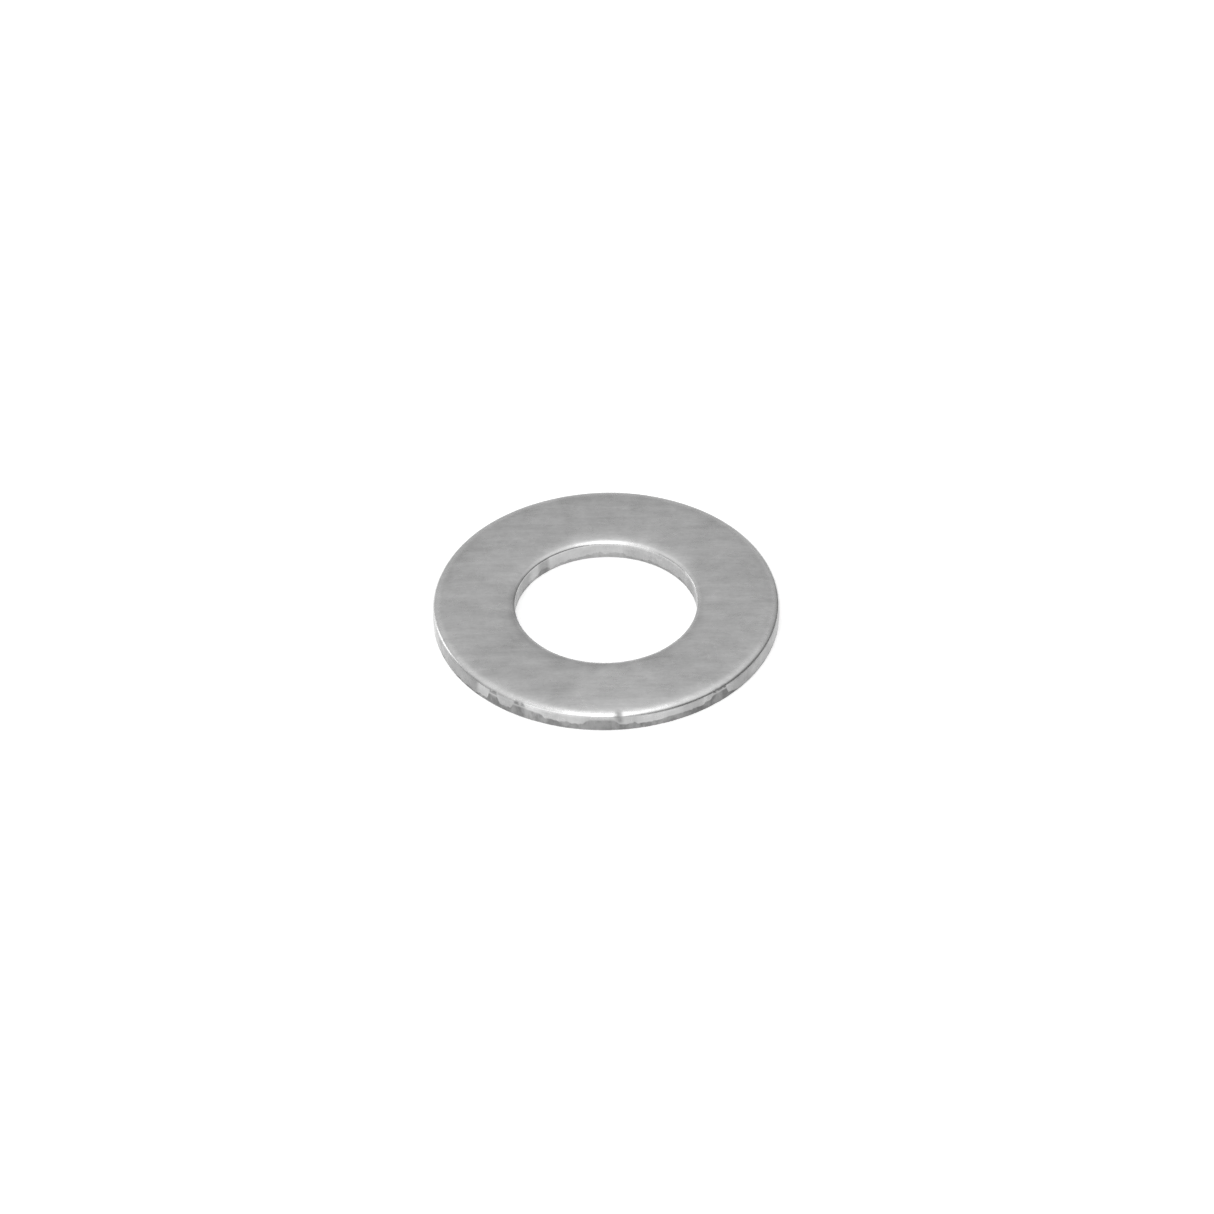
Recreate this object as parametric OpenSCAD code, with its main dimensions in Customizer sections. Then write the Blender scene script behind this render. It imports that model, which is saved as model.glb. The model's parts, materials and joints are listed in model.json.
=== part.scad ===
// Flat washer, light series, for an M8 bolt.
// Punched from sheet in one stroke, so both top edges are drawn down into a roll,
// and both bottom edges are left nearly square, with the burr tumbled off.
// Millimetres, +Z up. The origin is the centre of the bore, in the plane of the underside.

/* [Washer] */
// Outside diameter
outer_d = 16; // [13:0.1:30]
// Diameter of the bore, which an M8 bolt passes with clearance
bore_d = 8.4; // [4.2:0.1:10]
// Thickness of the sheet
thickness = 1; // [0.6:0.05:2.5]

/* [Rolled top edges] */
// How far the outer roll reaches in from the outer wall
outer_roll_w = 0.64; // [0.3:0.02:0.8]
// How far the outer roll drops below the top face, at the outer wall
outer_roll_h = 0.22; // [0.08:0.01:0.28]
// How far the bore's roll reaches out from the bore wall
bore_roll_w = 0.46; // [0.3:0.02:0.6]
// How far the bore's roll drops below the top face, at the bore wall
bore_roll_h = 0.18; // [0.08:0.01:0.28]

/* [Tumbled bottom edges] */
// Radius on the bottom edge of the outer wall
outer_edge_r = 0.12; // [0.05:0.01:0.2]
// Radius on the bottom edge of the bore
bore_edge_r = 0.1; // [0.05:0.01:0.2]

/* [Hidden] */
$fn = 180;
outer_r = outer_d / 2;
bore_r = bore_d / 2;
ring_w = outer_r - bore_r;
// How far each cutter stands clear of the section that it trims
over = 0.1;

// Radius of the arc that leaves the flat level, and drops by h over a width of w
function roll_radius(w, h) = (w * w + h * h) / (2 * h);

// What a roll takes off a top corner: the corner is at [w, 0], and the arc starts at the origin
module roll_cut(w, h) {
    arc_r = roll_radius(w, h);
    difference() {
        translate([0, -arc_r]) square([w + over, arc_r + over]);
        translate([0, -arc_r]) circle(r = arc_r);
    }
}

// What a radius takes off a bottom corner: the corner is at the origin, with the ring on its left
module edge_cut(r) {
    difference() {
        translate([-r, -over]) square([r + over, r + over]);
        translate([-r, r]) circle(r = r);
    }
}

// Cross-section of the ring: X is the distance from the axis, and Y is the height
module ring_section() {
    difference() {
        translate([bore_r, 0]) square([ring_w, thickness]);
        translate([outer_r - outer_roll_w, thickness]) roll_cut(outer_roll_w, outer_roll_h);
        translate([bore_r + bore_roll_w, thickness]) mirror([1, 0]) roll_cut(bore_roll_w, bore_roll_h);
        translate([outer_r, 0]) edge_cut(outer_edge_r);
        translate([bore_r, 0]) mirror([1, 0]) edge_cut(bore_edge_r);
    }
}

// The whole washer, one piece of steel with a round bore
module washer() {
    color([0.72, 0.73, 0.74])
        rotate_extrude() ring_section();
}

washer();
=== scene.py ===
import json
import math

import bpy
import numpy as np
from mathutils import Matrix, Vector


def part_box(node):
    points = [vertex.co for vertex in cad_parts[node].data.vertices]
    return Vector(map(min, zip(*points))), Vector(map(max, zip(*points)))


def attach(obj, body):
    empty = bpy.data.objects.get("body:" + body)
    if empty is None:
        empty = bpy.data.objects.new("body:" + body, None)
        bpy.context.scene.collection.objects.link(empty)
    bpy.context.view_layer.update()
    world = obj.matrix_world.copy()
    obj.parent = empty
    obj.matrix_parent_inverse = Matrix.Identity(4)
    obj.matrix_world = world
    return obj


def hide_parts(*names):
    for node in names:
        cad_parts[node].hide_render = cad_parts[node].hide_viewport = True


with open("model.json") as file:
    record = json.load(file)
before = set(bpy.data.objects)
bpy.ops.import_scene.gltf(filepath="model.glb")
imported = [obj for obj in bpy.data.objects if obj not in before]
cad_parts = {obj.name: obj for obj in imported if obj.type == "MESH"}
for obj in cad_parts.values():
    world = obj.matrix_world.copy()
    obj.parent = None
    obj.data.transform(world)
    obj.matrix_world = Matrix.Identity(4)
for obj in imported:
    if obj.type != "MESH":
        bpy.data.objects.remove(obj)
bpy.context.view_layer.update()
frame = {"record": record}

# ---------------------------------------------------------------------------------------------
# Sizes, in metres. The ring's own come from the frame, and the rest are details of how it is made.

MM = 0.001
LOW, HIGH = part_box("washer")
OUTER_R = min(-LOW.x, -LOW.y, HIGH.x, HIGH.y)
THICKNESS = HIGH.z - LOW.z
MOUNTS = {m["name"]: m for m in frame["record"]["mounts"]}
BORE_R = MOUNTS["bore"]["dims"]["r_mm"] * MM
MIDDLE_R = (OUTER_R + BORE_R) / 2

# The section is worked out at this many angles, which are also kept in degrees from the front,
# positive to the right
SEGMENTS = 720
THETA = np.linspace(-math.pi, math.pi, SEGMENTS, endpoint=False)
FROM_FRONT = (np.degrees(THETA) + 90 + 180) % 360 - 180
NOTHING = np.zeros(SEGMENTS)
QUARTER_TURN = np.full(SEGMENTS, math.pi / 2)

# Points along each part of the section, outside, in the bore and across the two faces
OUTER_POINTS = dict(roll=17, nose=10, land=8, tear=16, edge=7)
BORE_POINTS = dict(roll=14, nose=8, land=9, tear=11, edge=6)
TOP_POINTS, UNDER_POINTS = 14, 13
# Where each part's random draws start
OUTER_WALL_SEED, BORE_WALL_SEED, OUTER_SEED, BORE_SEED = 3, 23, 31, 47
FACE_WAVES_SEED, FACE_RIPPLES_SEED = 61, 62

# The punch draws both top edges down: how wide each roll is, how far it sinks gently and then
# steeply, the power of the steep part, how much deeper that is at the front than on average, and
# the radius of the nose that turns it into the wall
OUTER_ROLL = dict(width=1.5 * MM, dish=0.06 * MM, drop=0.105 * MM, power=6, lean=0.25, nose=0.19 * MM)
BORE_ROLL = dict(width=1.2 * MM, dish=0.045 * MM, drop=0.12 * MM, power=6, lean=0.0, nose=0.1 * MM)
# The share by which the width, the steep drop and the nose vary round the ring
ROLL_VARIES = dict(width=0.05, drop=0.07, nose=0.2)
# Tumbling has burnished the rolls, this far in from each wall and this far down from the face, and
# fades out over the last of that depth. The rolls are painted lighter there, partly as burnish and
# partly as painted highlight
OUTER_BURNISHED, BORE_BURNISHED = 0.45 * MM, 0.24 * MM
BURNISHED_DEPTH, BURNISHED_FADE = 0.27 * MM, 0.11 * MM

# Below the roll a wall is burnished first, and then tears away, flares and ends in a small radius
OUTER_WALL = dict(flare=0.012 * MM, edge=0.06 * MM, edge_torn_and_shade=0.3, most_torn=1.0, land=0.52)
BORE_WALL = dict(flare=0.01 * MM, edge=0.05 * MM, edge_torn_and_shade=0.2, most_torn=0.5, land=0.75)
# The least and the most of a wall that is burnished, as a share
LEAST_LAND, MOST_LAND = 0.02, 0.95
# The walls are painted darker, to this share of the faces' tone outside and in the bore: partly their
# own duller tone and partly painted shade of the darker room and shadowed floor they reflect. This
# starts a little below the face and is in full a little lower
OUTER_SHADE, BORE_SHADE = 0.84, 0.78
WALL_TOP, SHADE_FADE = 0.1 * MM, 0.15 * MM
# The line where a wall starts to tear is ragged: the reach of each layer, its fewest and most waves
# per turn, and how fast the short ones fade
RAGGED = [(0.1, 3, 12, 0.5), (0.1, 14, 90, 0.5), (0.05, 90, 260, 0.2)]
# The tear steps in and roughens, in full below the first share of its height, and looks torn in full
# below the second
TEAR_STEP = 0.004 * MM
TEAR_DEPTH = 0.007 * MM
TEAR_ONSET, TEAR_FADE = 0.12, 0.22
# Its roughness is fine grain and lumps on an even depth, in these shares of the tear's depth
GRAIN_SHARE, LUMPS_SHARE, EVEN_SHARE = 0.55, 0.6, 0.8
TEAR_GRAIN = dict(pitch_range=(0.25 * MM, 1.2 * MM), turn_range=(30, 300))
TEAR_LUMPS = dict(pitch_range=(0.5 * MM, 2 * MM), turn_range=(8, 60))
# The bottom edge is at worst this torn, less from this burnished share of the wall, over this much.
# Being torn also paints the edge dark, partly as torn steel and partly as painted shade of the
# shadowed floor beside it
EDGE_WORST, EDGE_CLEANER_FROM, EDGE_CLEANER_OVER = 0.8, 0.6, 0.3
# Where the nose tore too, it did so in patches, from where the walls begin and in full this much
# lower. A burnished share this far below 0 means that it tore in full
NOSE_PATCHES = dict(pitch_range=(0.15 * MM, 0.8 * MM), turn_range=(60, 400))
PATCHINESS = 1.4
NOSE_FADE = 0.12 * MM
NOSE_TORN_AT = 0.25

# Stretches where the wall came out differently: the middle and half of the stretch, in degrees
# from the front and positive to the right, the burnished share, which is below 0 where the nose
# tore too, and the wall's shade there: how dark it is painted, partly its own tone and partly
# painted shade of the darker room it reflects, and above 1 painted lighter
OUTER_STRETCHES = [
    (-78, 6, 0.95, 0.93), (-68, 7, 0.95, 0.74), (-57, 6, 0.9, 0.64), (-50, 3, 0.9, 0.6),
    (-45, 2.5, 0.7, 0.95), (-40.5, 2, -0.3, 0.9), (-35.5, 3, 0.6, 0.85), (-30, 2.5, -0.3, 0.85),
    (-25, 3, 0.1, 1.1), (-16, 5, 0.5, 1.0), (-2, 5.6, 0.02, 0.88), (7, 3.5, 0.4, 0.86),
    (15, 4, 0.5, 1.0), (22, 3, 0.4, 0.92), (29, 4, 0.5, 0.74), (36, 2, 0.3, 0.75),
    (40, 3, -0.3, 0.8), (45, 2, 0.5, 0.8), (51, 5, 0.9, 0.66), (62, 7, 0.95, 0.74),
    (76, 9, 0.95, 0.7),
]
BORE_STRETCHES = [
    (-90, 14, 0.9, 0.55), (-115, 8, 0.9, 0.7), (-137, 4, 0.5, 0.68), (178, 14, 0.7, 1.05),
    (150, 14, 0.8, 0.88), (122, 14, 0.8, 0.84), (107, 7, 0.9, 0.64), (90, 8, 0.9, 0.7),
]

# How far the top face wanders from flat, in long waves and in ripples that are a share of them, and
# where that ends at most. It is in full at the top of the part, and fades out down the walls
FACE_WAVE = 0.0045 * MM
FACE_WAVES = dict(pitch_range=(2.2 * MM, 9 * MM), turn_range=(0, 14))
FACE_RIPPLES = dict(pitch_range=(0.8 * MM, 3 * MM), turn_range=(8, 40))
RIPPLE_SHARE, MOST_WANDER = 0.3, 1.3
WANDER_FROM, WANDER_OVER = 0.75 * THICKNESS, 0.2 * THICKNESS
# A nick across the front roll, from handling: degrees from the front, its size, how rough and dark it
# is, as torn steel and painted shade in the notch, how far in from the wall it starts, and how far it
# then takes to be in full
NICK = dict(angle=3.6, half_width=0.14 * MM, depth=0.03 * MM, torn_and_painted_shade=0.8, start=0.55 * MM, fade=0.35 * MM)
# It starts at this height on the wall too, and is in full as far above that
NICK_FOOT = 0.3 * THICKNESS
# The nick goes inwards and downwards alike, each by this share of its depth
NICK_SPLIT = 0.7
# A lighter part of the top face: the middle and half of it in degrees from the front, by how
# much it is lighter, and half of its width, with how far it fades beyond
LIGHTER_FRONT = dict(angle=2, half=17, lighter=0.055, reach=1.15 * MM, fade=0.6 * MM)


# ---------------------------------------------------------------------------------------------
# Noise that closes on itself round the ring

def ring_noise(seed, lowest, highest, falloff=1.0):
    """One smooth value per angle, about -1 to 1, from waves of lowest to highest per turn."""
    rng = np.random.default_rng(seed)
    total = np.zeros(SEGMENTS)
    for n in range(lowest, highest + 1):
        total += np.cos(n * THETA + rng.uniform(0, 2 * math.pi)) * rng.normal() / n**falloff
    return total / (2 * total.std())


def sheet_noise(seed, pitch_range, turn_range, waves=90):
    """A function of a grid of lengths, one row per angle: waves with a pitch, and so many per turn."""
    rng = np.random.default_rng(seed)
    turns = rng.integers(turn_range[0], turn_range[1], waves)
    pitches = rng.uniform(pitch_range[0], pitch_range[1], waves)
    phases = rng.uniform(0, 2 * math.pi, waves)
    signs = rng.choice([-1.0, 1.0], waves)

    def value(length):
        total = np.zeros_like(length)
        for turn, pitch, phase, sign in zip(turns, pitches, phases, signs):
            total += np.cos(turn * THETA[:, None] + sign * 2 * math.pi * length / pitch + phase)
        return total / (2 * total.std())

    return value


def smooth(x):
    """0 below 0, 1 above 1, and an even S between them."""
    x = np.clip(x, 0, 1)
    return x * x * (3 - 2 * x)


def near_angle(middle, half):
    """1 near the middle of a stretch of the ring, two thirds at half from it, and 0 well away."""
    away = np.abs((FROM_FRONT - middle + 180) % 360 - 180)
    return smooth(1.7 - 1.1 * away / half)


# ---------------------------------------------------------------------------------------------
# The cross-section at every angle, as grids of (radius, height, torn): angles down, points across

def spread(start, end, count, ease=1.0, last=False):
    """count shares from 0 towards 1, bunched by ease, scaled from start to end at each angle."""
    share = np.linspace(0, 1, count, endpoint=last) ** ease
    return start[:, None] + (end - start)[:, None] * share[None, :]


def roll_end(width, drop, nose, dish, power):
    """How far the roll reaches before its nose, and how it tilts there, found in five rounds."""
    reach = width - nose
    for _ in range(5):
        share = reach / width
        tilt = np.arctan((2 * dish * share + power * drop * share ** (power - 1)) / width)
        reach = width - nose * (1 - np.sin(tilt))
    return reach, tilt


def roll_curve(sizes, seed, points):
    """The roll and its nose, as (inset from the wall, height from the face), and their full drop."""
    width = sizes["width"] * (1 + ROLL_VARIES["width"] * ring_noise(seed, 1, 5))
    drop = sizes["drop"] * (1 + ROLL_VARIES["drop"] * ring_noise(seed + 1, 1, 6))
    drop = drop * (1 + sizes["lean"] * np.cos(np.radians(FROM_FRONT)))
    nose = sizes["nose"] * (1 + ROLL_VARIES["nose"] * ring_noise(seed + 2, 2, 14))
    dish, power = sizes["dish"], sizes["power"]
    reach, tilt = roll_end(width, drop, nose, dish, power)
    across = spread(NOTHING, reach, points["roll"], ease=0.6)
    share = across / width[:, None]
    depth = dish * share**2 + drop[:, None] * share**power
    end = dish * (reach / width) ** 2 + drop * (reach / width) ** power
    turn = spread(tilt, QUARTER_TURN, points["nose"])
    nose_x = (width - nose)[:, None] + nose[:, None] * np.sin(turn)
    nose_z = (end + nose * np.cos(tilt))[:, None] - nose[:, None] * np.cos(turn)
    inset = width[:, None] - np.concatenate([across, nose_x], 1)
    height = -np.concatenate([depth, nose_z], 1)
    return inset, height, end + nose * np.cos(tilt)


def along_wall(seed, middle, stretches):
    """At each angle, how much of the wall is burnished before it tears, and the wall's shade."""
    share, shade = np.full(SEGMENTS, middle), np.ones(SEGMENTS)
    for angle, half, share_there, shade_there in stretches:
        near = near_angle(angle, half)
        share = share * (1 - near) + share_there * near
        shade = shade * (1 - near) + shade_there * near
    ragged = np.zeros(SEGMENTS)
    for layer, (reach, lowest, highest, falloff) in enumerate(RAGGED):
        ragged += reach * ring_noise(seed + layer, lowest, highest, falloff)
    return np.minimum(share + ragged * np.clip(3 * share, 0, 1), MOST_LAND), shade


def edge_torn_and_shade(sizes, share):
    """How torn the bottom edge is, which is more where less of the wall is burnished. It also sets how
    dark the edge is painted, partly as painted shade.
    """
    cleaner = smooth((share - EDGE_CLEANER_FROM) / EDGE_CLEANER_OVER)
    return np.maximum(sizes["edge_torn_and_shade"], EDGE_WORST * (1 - cleaner))


def wall_curve(sizes, top, share, seed, points):
    """The wall below the nose, as (inset from the wall, height above the underside, torn)."""
    edge = sizes["edge"]
    foot = np.full(SEGMENTS, edge)
    split = top - (top - foot) * np.maximum(share, LEAST_LAND)
    land_z = spread(top, split, points["land"])
    tear_z = spread(split, foot, points["tear"])
    down = (split[:, None] - tear_z) / (split - foot)[:, None]
    grain = sheet_noise(seed, **TEAR_GRAIN)(tear_z)
    lumps = sheet_noise(seed + 1, **TEAR_LUMPS)(tear_z)
    rough = TEAR_DEPTH * (GRAIN_SHARE * grain + LUMPS_SHARE * lumps + EVEN_SHARE)
    start = smooth(down / TEAR_ONSET)
    tear_inset = sizes["flare"] * down + start * (TEAR_STEP + np.maximum(rough, 0))
    turn = spread(NOTHING, QUARTER_TURN, points["edge"], last=True)
    edge_inset = tear_inset[:, -1:] + edge * (1 - np.cos(turn))
    edge_z = edge * (1 - np.sin(turn))
    untorn = np.zeros_like(land_z)
    inset = np.concatenate([untorn, tear_inset, edge_inset], 1)
    height = np.concatenate([land_z, tear_z, edge_z], 1)
    edge_part = edge_torn_and_shade(sizes, share)[:, None] + 0 * edge_z
    torn_and_painted_shade = np.concatenate([untorn, smooth(down / TEAR_FADE), edge_part], 1)
    return inset, height, sizes["most_torn"] * torn_and_painted_shade


def nose_torn(height, share, seed):
    """How torn the nose is, in patches where share is below 0. height is from the face."""
    low = smooth((-height - WALL_TOP) / NOSE_FADE)
    patchy = np.maximum(1 + PATCHINESS * sheet_noise(seed, **NOSE_PATCHES)(height), 0)
    return low * smooth(-share[:, None] * patchy / NOSE_TORN_AT)


def half_section(radius, side, roll, wall, share, seed, points):
    """Roll, wall and bottom edge, from the face down. side is 1 outside and -1 in the bore."""
    roll_inset, roll_height, drop = roll_curve(roll, seed, points)
    wall_inset, wall_height, wall_torn = wall_curve(wall, THICKNESS - drop, share, seed + 10, points)
    inset = np.concatenate([roll_inset, wall_inset], 1)
    height = np.concatenate([THICKNESS + roll_height, wall_height], 1)
    torn_and_painted_shade = np.concatenate([nose_torn(roll_height, share, seed + 20), wall_torn], 1)
    return radius - side * inset, height, torn_and_painted_shade


def section():
    """The closed loop of points round the cross-section at every angle, and the walls' shade."""
    outer_share, outer_shade = along_wall(OUTER_WALL_SEED, OUTER_WALL["land"], OUTER_STRETCHES)
    bore_share, bore_shade = along_wall(BORE_WALL_SEED, BORE_WALL["land"], BORE_STRETCHES)
    outer = half_section(OUTER_R, 1, OUTER_ROLL, OUTER_WALL, outer_share, OUTER_SEED, OUTER_POINTS)
    bore = half_section(BORE_R, -1, BORE_ROLL, BORE_WALL, bore_share, BORE_SEED, BORE_POINTS)
    bore = [grid[:, ::-1] for grid in bore]
    top_r = spread(bore[0][:, -1], outer[0][:, 0], TOP_POINTS)[:, 1:]
    under_r = spread(outer[0][:, -1], bore[0][:, 0], UNDER_POINTS)[:, 1:]
    top_z, under_z = np.full_like(top_r, THICKNESS), np.zeros_like(under_r)
    radius = np.concatenate([outer[0], under_r, bore[0], top_r], 1)
    height = np.concatenate([outer[1], under_z, bore[1], top_z], 1)
    torn_and_painted_shade = np.concatenate([outer[2], 0 * under_z, bore[2], 0 * top_z], 1)
    above_table = height > 0.001 * MM
    on_wall = smooth((THICKNESS - height - WALL_TOP) / SHADE_FADE) * above_table
    bore_shade, outer_shade = BORE_SHADE * bore_shade, OUTER_SHADE * outer_shade
    shade = np.where(radius < MIDDLE_R, bore_shade[:, None], outer_shade[:, None])
    return radius, height, torn_and_painted_shade, 1 + (shade - 1) * on_wall


def face_height(radius):
    """The top face wanders a little below its nominal plane."""
    waves = sheet_noise(FACE_WAVES_SEED, **FACE_WAVES)(radius)
    ripples = sheet_noise(FACE_RIPPLES_SEED, **FACE_RIPPLES)(radius)
    wander = np.clip(waves + RIPPLE_SHARE * ripples, -MOST_WANDER, MOST_WANDER)
    return -FACE_WAVE * (MOST_WANDER + wander) / 2


def add_face_wave(radius, height):
    """Lets the top face and its rolls wander, and fades that out down the walls."""
    reach = smooth((height - WANDER_FROM) / WANDER_OVER)
    return height + reach * face_height(radius)


def add_nick(radius, height, torn_and_painted_shade):
    """Presses a small rough notch into the outer roll and the top of the wall, painted dark as torn
    steel and painted shade.
    """
    arc = np.radians(FROM_FRONT - NICK["angle"]) * OUTER_R
    width = smooth(1 - np.abs(arc) / (2 * NICK["half_width"]))[:, None]
    on_rim = smooth((radius - OUTER_R + NICK["start"]) / NICK["fade"])
    above = smooth((height - NICK_FOOT) / NICK_FOOT)
    notch = width * on_rim * above
    dent = NICK_SPLIT * NICK["depth"] * notch
    return radius - dent, height - dent, np.maximum(torn_and_painted_shade, NICK["torn_and_painted_shade"] * notch)


# ---------------------------------------------------------------------------------------------
# The mesh

def burnish_and_sheen_mask(radius, height):
    """1 on the steep part of both rolls, where they are burnished and carry painted highlight, and 0 on
    the face and down the walls.
    """
    in_bore = radius < MIDDLE_R
    from_wall = np.where(in_bore, radius - BORE_R, OUTER_R - radius)
    reach = np.where(in_bore, BORE_BURNISHED, OUTER_BURNISHED)
    above_wall = smooth((height - THICKNESS + BURNISHED_DEPTH) / BURNISHED_FADE)
    return smooth(1.7 - 1.7 * from_wall / reach) * above_wall


def lighter_front(radius):
    """1 on the lighter part of the face, and 0 away from it."""
    on_face = 1 - smooth((np.abs(radius - MIDDLE_R) - LIGHTER_FRONT["reach"]) / LIGHTER_FRONT["fade"])
    return near_angle(LIGHTER_FRONT["angle"], LIGHTER_FRONT["half"])[:, None] * on_face


def ring_faces(points):
    """Quads between neighbouring angles and neighbouring points, all the way round both ways."""
    i, j = np.meshgrid(np.arange(SEGMENTS), np.arange(points), indexing="ij")
    next_i, next_j = (i + 1) % SEGMENTS, (j + 1) % points
    corners = [i * points + j, i * points + next_j, next_i * points + next_j, next_i * points + j]
    return np.stack(corners, -1).reshape(-1, 4)


def attribute(mesh, name, values):
    """Keeps one value per point on the mesh, for the material to read."""
    layer = mesh.attributes.new(name, "FLOAT", "POINT")
    layer.data.foreach_set("value", values.astype(np.float32).ravel())


def link(thing):
    """Puts an object into the scene."""
    bpy.context.scene.collection.objects.link(thing)
    return thing


def build_washer():
    """The ring as one closed mesh, with what its material needs to know at each point."""
    radius, height, torn_and_painted_shade, shade = section()
    height = add_face_wave(radius, height)
    radius, height, torn_and_painted_shade = add_nick(radius, height, torn_and_painted_shade)
    x = radius * np.cos(THETA)[:, None]
    y = radius * np.sin(THETA)[:, None]
    points = np.stack([x, y, height + LOW.z], -1).reshape(-1, 3)
    mesh = bpy.data.meshes.new("washer_ring")
    mesh.from_pydata(points.tolist(), [], ring_faces(radius.shape[1]).tolist())
    attribute(mesh, "torn_and_painted_shade", torn_and_painted_shade)
    attribute(mesh, "burnish_and_sheen", burnish_and_sheen_mask(radius, height))
    attribute(mesh, "shade", shade)
    attribute(mesh, "lighter_front", lighter_front(radius))
    mesh.shade_smooth()
    mesh.update()
    return link(bpy.data.objects.new("washer_ring", mesh))


# ---------------------------------------------------------------------------------------------
# Materials

class Nodes:
    """A few words for writing a node tree down."""

    def __init__(self, tree):
        self.tree = tree
        tree.nodes.clear()

    def add(self, kind, **settings):
        node = self.tree.nodes.new(kind)
        for key, value in settings.items():
            setattr(node, key, value)
        return node

    def plug(self, socket, value):
        """Links a socket, or sets a plain value."""
        if isinstance(value, bpy.types.NodeSocket):
            self.tree.links.new(value, socket)
        else:
            socket.default_value = value

    def set(self, node, **inputs):
        for key, value in inputs.items():
            self.plug(node.inputs[key.replace("_", " ")], value)
        return node

    def math(self, operation, a, b=0.0, c=0.0):
        node = self.add("ShaderNodeMath", operation=operation)
        for socket, value in zip(node.inputs, (a, b, c)):
            self.plug(socket, value)
        return node.outputs[0]

    def mix(self, share, a, b):
        """a where share is 0 and b where it is 1, for numbers."""
        return self.math("MULTIPLY_ADD", share, self.math("SUBTRACT", b, a), a)

    def vector(self, operation, a, b=(0, 0, 0)):
        node = self.add("ShaderNodeVectorMath", operation=operation)
        self.plug(node.inputs[0], a)
        self.plug(node.inputs[1], b)
        return node.outputs["Value" if operation == "DOT_PRODUCT" else "Vector"]

    def noise(self, vector, scale, detail=3.0, rough=0.5):
        node = self.add("ShaderNodeTexNoise")
        self.set(node, Vector=vector, Scale=scale, Detail=detail, Roughness=rough)
        return node.outputs["Fac"]

    def range(self, value, low, high, to_low=0.0, to_high=1.0):
        """to_low at low and beyond, to_high at high and beyond, and an even S between them."""
        node = self.add("ShaderNodeMapRange", interpolation_type="SMOOTHSTEP")
        names = ("Value", "From Min", "From Max", "To Min", "To Max")
        for name, v in zip(names, (value, low, high, to_low, to_high)):
            self.plug(node.inputs[name], v)
        return node.outputs[0]

    def swing(self, value, reach):
        """A noise value turned into -reach/2 to reach/2."""
        return self.math("MULTIPLY", self.math("SUBTRACT", value, 0.5), reach)

    def grey(self, value):
        node = self.add("ShaderNodeCombineColor")
        for socket in node.inputs[:3]:
            self.tree.links.new(value, socket)
        return node.outputs[0]

    def mask(self, name):
        """What the mesh keeps at each point under this name."""
        return self.add("ShaderNodeAttribute", attribute_name=name).outputs["Fac"]

    def bump(self, height, depth, normal=None):
        """Relief of a depth where height is 1, downwards where the depth is below 0."""
        node = self.add("ShaderNodeBump", invert=depth < 0)
        self.set(node, Height=height, Distance=abs(depth), Strength=1.0)
        if normal is not None:
            self.tree.links.new(normal, node.inputs["Normal"])
        return node.outputs[0]


def new_material(name):
    """A material with only a principled shader and its output."""
    material = bpy.data.materials.new(name)
    material.use_nodes = True
    nodes = Nodes(material.node_tree)
    shader = nodes.add("ShaderNodeBsdfPrincipled")
    output = nodes.add("ShaderNodeOutputMaterial")
    nodes.set(output, Surface=shader.outputs[0])
    return material, nodes, shader


# The steel's noises are drawn in space measured in millimetres, either even or stretched: along the
# rolling direction, or upwards by a lot or by a little
EVEN, ROLLED, UPRIGHT, STUBBY = (1.0, 1.0, 1.0), (0.16, 1.0, 1.0), (1.0, 1.0, 0.12), (1.0, 1.0, 0.5)
# Each one's space, scale, detail and roughness
STEEL_NOISES = dict(
    clouds=(EVEN, 0.35, 3.0, 0.55),
    blotches=(EVEN, 1.3, 4.0, 0.62),
    streaks=(ROLLED, 2.6, 3.0, 0.6),
    hairlines=(ROLLED, 16.0, 2.0, 0.6),
    lines=(UPRIGHT, 7.0, 3.0, 0.65),
    tears=(STUBBY, 2.6, 3.0, 0.6),
    bloom=(EVEN, 1.4, 4.0, 0.6),
    peel=(EVEN, 3.5, 3.0, 0.55),
)
# Tone: the bare steel's, how far each noise swings it, how much lighter or darker the burnished
# rolls (burnish and painted highlight), the scratches and the dings (painted shade in the dents) are,
# the range of the torn wall's (its own duller tone and painted shade of the shadowed floor it
# reflects), and how far its lines swing it
BARE_TONE = 0.574
TONE_SWINGS = dict(clouds=0.12, blotches=0.2, streaks=0.2, hairlines=0.1, lines=0.1)
BURNISH_AND_SHEEN_LIGHTER, MARKS_LIGHTER, HOLLOWS_PAINTED_SHADE = 0.15, 0.03, -0.05
TORN_AND_SHADE_TONE, TORN_SWING = (0.28, 0.38), 0.12
# Roughness: the range of the face's, how far the hairlines swing it, what it is on the burnished
# rolls and in the scratches, and the range of the torn wall's
FACE_HAZE, HAZE_SWING = (0.26, 0.38), 0.08
WORN_HAZE, MARKS_HAZE = 0.26, 0.27
TORN_HAZE = (0.55, 0.38)
# Relief: how high each kind stands in millimetres, below 0 where it sinks in, and the share of the
# upright lines' relief that is left where the wall is not torn
RELIEF = dict(peel=0.004, hairlines=0.0008, marks=-0.0008, hollows=-0.004, lines=0.02)
UNTORN_LINES = 0.12
# Scratches, as the angle at which they lie and how rare they are, and dings, as how many cells there
# are to a millimetre, the share of the cells that have one, and its size at most, in cells
SCRATCHES = [(17, 0.6), (-38, 0.62), (74, 0.61), (121, 0.63)]
DINGS = [(1.1, 0.3, 0.13), (3.1, 0.25, 0.2)]


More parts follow.
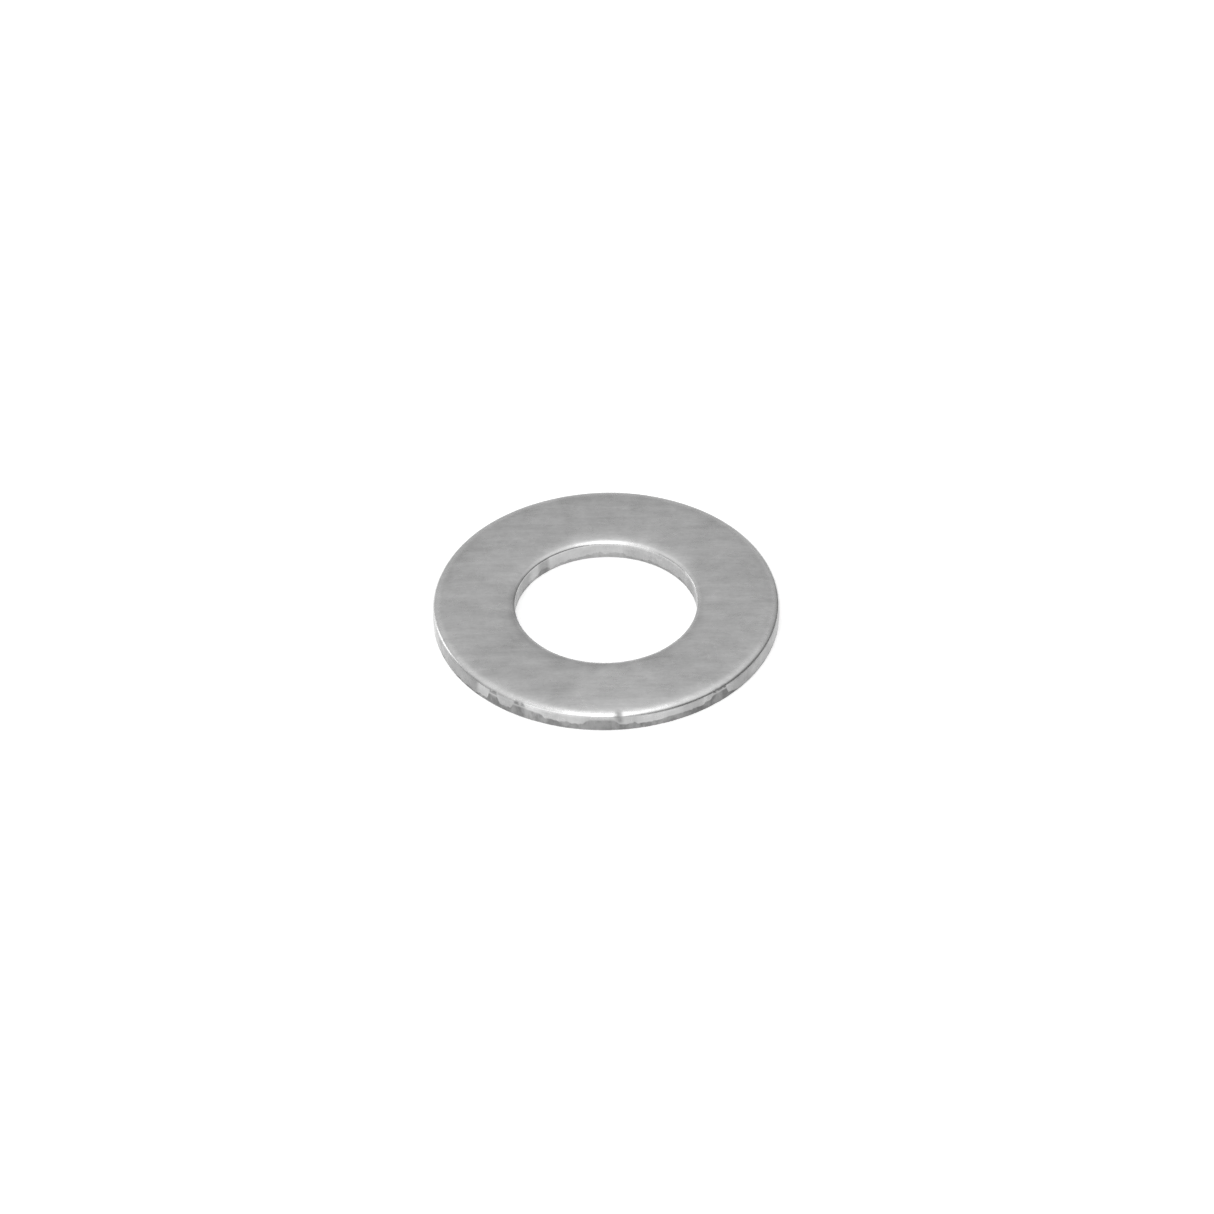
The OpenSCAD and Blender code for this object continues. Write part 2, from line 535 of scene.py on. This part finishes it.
def scratches(nodes, place, angle, rarity):
    """Thin, nearly straight lines lying at an angle in the face, here and there, as a 0 to 1 mask."""
    turned = nodes.add("ShaderNodeVectorRotate", rotation_type="Z_AXIS")
    nodes.set(turned, Vector=place, Angle=math.radians(angle))
    drawn = nodes.vector("ADD", turned.outputs[0], (angle, 0.0, 0.0))
    hills = nodes.noise(nodes.vector("MULTIPLY", drawn, (0.17, 6.0, 1.0)), 1.0, 1.0)
    away = nodes.math("ABSOLUTE", nodes.math("SUBTRACT", hills, 0.5))
    line = nodes.range(away, 0.015, 0.045, 1.0, 0.0)
    spots = nodes.noise(nodes.vector("MULTIPLY", drawn, (0.6, 2.8, 1.0)), 1.0, 1.0)
    return nodes.math("MULTIPLY", line, nodes.range(spots, rarity, rarity + 0.08))


def dings(nodes, place, scale, share, size):
    """Small round dents from other parts in the tumbler, in a share of the cells of a mosaic."""
    cells = nodes.set(nodes.add("ShaderNodeTexVoronoi"), Vector=place, Scale=scale)
    pick = nodes.set(nodes.add("ShaderNodeSeparateColor"), Color=cells.outputs["Color"])
    kept = nodes.math("GREATER_THAN", pick.outputs[0], 1 - share)
    across = nodes.math("MULTIPLY", pick.outputs[1], size)
    hollow = nodes.range(cells.outputs["Distance"], 0.0, across, 1.0, 0.0)
    return nodes.math("MULTIPLY", hollow, kept)


def steel_layers(nodes, place):
    """Everything that varies over the steel, by name: its noises, scratches and dings."""
    layers = dict(marks=0.0, hollows=0.0)
    for name, (stretch, scale, detail, rough) in STEEL_NOISES.items():
        layers[name] = nodes.noise(nodes.vector("MULTIPLY", place, stretch), scale, detail, rough)
    for angle, rarity in SCRATCHES:
        marks = scratches(nodes, place, angle, rarity)
        layers["marks"] = nodes.math("MAXIMUM", layers["marks"], marks)
    for scale, share, size in DINGS:
        hollows = dings(nodes, place, scale, share, size)
        layers["hollows"] = nodes.math("MAXIMUM", layers["hollows"], hollows)
    return layers


def steel_tone(nodes, layers):
    """How light the steel is: lighter on a part of the face at the front, lighter on the burnished
    rolls as burnish and painted highlight, darker in the dings as painted shade, dark where it tore,
    partly as painted shade, and the walls darkened by their painted shade.
    """
    tone = nodes.math("MULTIPLY_ADD", nodes.mask("lighter_front"), LIGHTER_FRONT["lighter"], BARE_TONE)
    for name, reach in TONE_SWINGS.items():
        tone = nodes.math("ADD", tone, nodes.swing(layers[name], reach))
    # Painted highlight: the burnished rolls are painted lighter, partly burnish and partly a stronger
    # highlight
    tone = nodes.mix(nodes.mask("burnish_and_sheen"), tone, nodes.math("ADD", tone, BURNISH_AND_SHEEN_LIGHTER))
    tone = nodes.math("MULTIPLY_ADD", layers["marks"], MARKS_LIGHTER, tone)
    # Painted shade: the dings are painted darker
    tone = nodes.math("MULTIPLY_ADD", layers["hollows"], HOLLOWS_PAINTED_SHADE, tone)
    # Painted shade: the torn steel is painted dark, partly its own duller tone and partly the shadowed
    # floor it reflects
    torn_and_shade_tone = nodes.range(layers["tears"], 0.35, 0.65, *TORN_AND_SHADE_TONE)
    torn_and_shade_tone = nodes.math("ADD", torn_and_shade_tone, nodes.swing(layers["lines"], TORN_SWING))
    tone = nodes.mix(nodes.mask("torn_and_painted_shade"), tone, torn_and_shade_tone)
    # Painted shade: the walls are darkened by their shade, partly their own tone and partly shade of
    # the room and floor they reflect
    return nodes.math("MULTIPLY", tone, nodes.mask("shade"))


def steel_haze(nodes, layers):
    """How rough the steel is: satin, glossier on the burnished rolls and dull where it tore."""
    haze = nodes.range(layers["bloom"], 0.3, 0.7, *FACE_HAZE)
    haze = nodes.math("ADD", haze, nodes.swing(layers["hairlines"], HAZE_SWING))
    haze = nodes.mix(nodes.mask("burnish_and_sheen"), haze, WORN_HAZE)
    haze = nodes.mix(layers["marks"], haze, MARKS_HAZE)
    torn_haze = nodes.range(layers["tears"], 0.4, 0.65, *TORN_HAZE)
    return nodes.mix(nodes.mask("torn_and_painted_shade"), haze, torn_haze)


def steel_relief(nodes, layers):
    """The finest relief, one kind on top of another, with the upright lines only where it tore."""
    line_share = nodes.mix(nodes.mask("torn_and_painted_shade"), UNTORN_LINES, 1.0)
    heights = dict(layers, lines=nodes.math("MULTIPLY", layers["lines"], line_share))
    normal = None
    for name, depth in RELIEF.items():
        normal = nodes.bump(heights[name], depth * MM, normal)
    return normal


def steel():
    """Tumbled sheet steel: satin faces with faint rolling lines, and a torn, duller lower wall."""
    material, nodes, shader = new_material("tumbled_steel")
    place = nodes.add("ShaderNodeTexCoord").outputs["Object"]
    layers = steel_layers(nodes, nodes.vector("MULTIPLY", place, (1 / MM, 1 / MM, 1 / MM)))
    nodes.set(shader, Metallic=1.0, Base_Color=nodes.grey(steel_tone(nodes, layers)))
    nodes.set(shader, Roughness=steel_haze(nodes, layers), Normal=steel_relief(nodes, layers))
    return material


FLOOR_TONE = (0.86, 0.88)
FLOOR_GLOW = 0.5


def floor_paint():
    """Plain white table, lit from below a little, as a light table is."""
    material, nodes, shader = new_material("pale_table")
    place = nodes.add("ShaderNodeTexCoord").outputs["Object"]
    tone = nodes.range(nodes.noise(place, 40.0, 2.0), 0.3, 0.7, *FLOOR_TONE)
    nodes.set(shader, Base_Color=nodes.grey(tone), Roughness=0.9)
    nodes.set(shader, Emission_Color=(1, 1, 1, 1), Emission_Strength=FLOOR_GLOW)
    return material


# ---------------------------------------------------------------------------------------------
# Studio: floor, room, soft lights and the camera

FLOOR_SIZE = 2.4
# The floor is just below the washer's underside, so that the two don't share a plane
FLOOR_GAP = 0.002 * MM
CENTRE = Vector((0, 0, LOW.z + THICKNESS / 2))


def build_floor():
    """One square of table, with the washer at its middle."""
    mesh = bpy.data.meshes.new("table")
    half = FLOOR_SIZE / 2
    level = LOW.z - FLOOR_GAP
    corners = [(-half, -half, level), (half, -half, level), (half, half, level), (-half, half, level)]
    mesh.from_pydata(corners, [], [(0, 1, 2, 3)])
    mesh.materials.append(floor_paint())
    return link(bpy.data.objects.new("table", mesh))


def direction(azimuth, elevation):
    """A unit vector. Azimuth 0 points straight back, away from the viewer, and turns to the right."""
    a, e = math.radians(azimuth), math.radians(elevation)
    return Vector((math.sin(a) * math.cos(e), math.cos(a) * math.cos(e), math.sin(e)))


# Brightness of the room against the sine of the elevation. Two sides of it differ by a gain, in
# full within the inner angle either way of the azimuth and below the low elevation, and not at all
# beyond the outer angle or above the high elevation
ROOM = [(0.0, 1.06), (0.05, 1.06), (0.09, 0.52), (0.35, 0.52), (0.62, 0.55), (0.84, 0.88), (0.95, 0.88)]
ROOM_SCALE = 1.2
ROOM_SIDES = [
    dict(azimuth=90, inner=50, outer=74, low=22, high=62, gain=0.42),
    dict(azimuth=205, inner=15, outer=52, low=55, high=76, gain=2.1),
]


def room_side(nodes, way, height, azimuth, inner, outer, low, high, gain):
    """The gain on one side of the room, and 1 elsewhere."""
    level = nodes.vector("NORMALIZE", nodes.vector("MULTIPLY", way, (1, 1, 0)))
    turned = nodes.vector("DOT_PRODUCT", level, tuple(direction(azimuth, 0)))
    facing = nodes.range(turned, math.cos(math.radians(outer)), math.cos(math.radians(inner)))
    below = nodes.range(height, math.sin(math.radians(high)), math.sin(math.radians(low)))
    return nodes.mix(nodes.math("MULTIPLY", facing, below), 1.0, gain)


def build_world():
    """A pale room: white at the horizon, greyer above it, and lighter again overhead."""
    world = bpy.data.worlds.new("room")
    world.use_nodes = True
    nodes = Nodes(world.node_tree)
    way = nodes.add("ShaderNodeTexCoord").outputs["Generated"]
    split = nodes.set(nodes.add("ShaderNodeSeparateXYZ"), Vector=way)
    ramp = nodes.set(nodes.add("ShaderNodeValToRGB"), Fac=split.outputs["Z"])
    stops = ramp.color_ramp.elements
    while len(stops) < len(ROOM):
        stops.new(1.0)
    for stop, (position, brightness) in zip(stops, ROOM):
        stop.position = position
        stop.color = (*[brightness / ROOM_SCALE] * 3, 1)
    strength = ROOM_SCALE
    for side in ROOM_SIDES:
        strength = nodes.math("MULTIPLY", strength, room_side(nodes, way, split.outputs["Z"], **side))
    shade = nodes.set(nodes.add("ShaderNodeBackground"), Color=ramp.outputs[0], Strength=strength)
    nodes.set(nodes.add("ShaderNodeOutputWorld"), Surface=shade.outputs[0])
    bpy.context.scene.world = world


# One soft box overhead, a little to the front, and one low on the left, for the rim's streak there
SOFTBOXES = [
    dict(name="overhead", azimuth=180, elevation=80, size=(0.22, 0.42), radiance=0.95),
    dict(name="side", azimuth=-60, elevation=20, size=(0.17, 0.2), radiance=1.8),
]
SOFTBOX_DISTANCE = 0.5


def add_softbox(name, azimuth, elevation, size, radiance):
    """A soft light, wide and high as size says, out of the camera's sight."""
    data = bpy.data.lights.new(name, "AREA")
    data.shape = "RECTANGLE"
    data.size, data.size_y = size
    data.energy = radiance * math.pi * size[0] * size[1]
    light = bpy.data.objects.new(name, data)
    way = direction(azimuth, elevation)
    light.location = CENTRE + way * SOFTBOX_DISTANCE
    light.rotation_mode = "QUATERNION"
    light.rotation_quaternion = way.to_track_quat("Z", "Y")
    light.visible_camera = False
    link(light)


# The camera's height and its lean in degrees, its lens in millimetres, how many outside diameters
# away it stands, and how far its aim is to the right of the washer's middle and above it
CAMERA_ELEVATION, CAMERA_LEAN = 40.45, 1.16
CAMERA_LENS, CAMERA_SENSOR = 205.6, 36
CAMERA_DIAMETERS = 20
AIM_RIGHT_MM, AIM_UP_MM = 0.042, 0.05


def build_camera():
    """Long lens, well above the washer, leaning a degree so that the right side rides higher."""
    elevation, lean = math.radians(CAMERA_ELEVATION), math.radians(CAMERA_LEAN)
    distance = CAMERA_DIAMETERS * 2 * OUTER_R
    data = bpy.data.cameras.new("camera")
    data.sensor_width = CAMERA_SENSOR
    data.lens = CAMERA_LENS
    data.clip_start, data.clip_end = 0.01, 10
    camera = link(bpy.data.objects.new("camera", data))
    back = Vector((0, -math.cos(elevation), math.sin(elevation)))
    aim = (-back).to_track_quat("-Z", "Y")
    camera.rotation_mode = "QUATERNION"
    camera.rotation_quaternion = aim @ Matrix.Rotation(-lean, 3, "Z").to_quaternion()
    across, upward = Vector((1, 0, 0)), Vector((0, math.sin(elevation), math.cos(elevation)))
    shift = across * AIM_RIGHT_MM * MM + upward * AIM_UP_MM * MM
    camera.location = CENTRE + back * distance + shift
    bpy.context.scene.camera = camera


# ---------------------------------------------------------------------------------------------
# Everything together

build_camera()
washer = build_washer()
washer.data.materials.append(steel())
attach(washer, "root")
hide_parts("washer")

table = build_floor()
build_world()
for softbox in SOFTBOXES:
    add_softbox(**softbox)
bpy.context.scene.view_settings.view_transform = "Standard"
